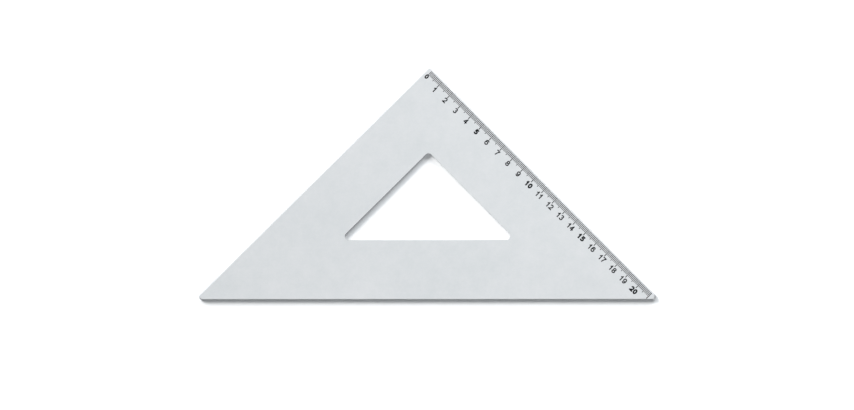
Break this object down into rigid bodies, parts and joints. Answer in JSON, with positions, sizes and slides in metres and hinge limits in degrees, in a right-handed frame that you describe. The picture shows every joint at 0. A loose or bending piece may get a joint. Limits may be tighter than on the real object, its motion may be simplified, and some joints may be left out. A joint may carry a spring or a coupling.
{
  "type": "set square",
  "caption": "Flat right-angled isosceles set square of aluminium with a triangular window and a printed centimetre scale along a short side, for drawing and measuring.",
  "frame": {"origin": "under the middle of the plate's box, on the surface that the plate lies on", "axes": "+X along the long side, with the scale at +X; +Y towards the square corner; +Z out of the printed face"},
  "size_m": [0.3054, 0.1556, 0.0021],
  "materials": {
    "anodised_aluminium": "satin anodised sheet",
    "printing_ink": "black screen-printed ink film"
  },
  "bodies": {
    "root": {"plate": "anodised_aluminium", "millimetre_lines": "printing_ink", "half_centimetre_lines": "printing_ink", "centimetre_lines": "printing_ink"}
  },
  "joints": []
}
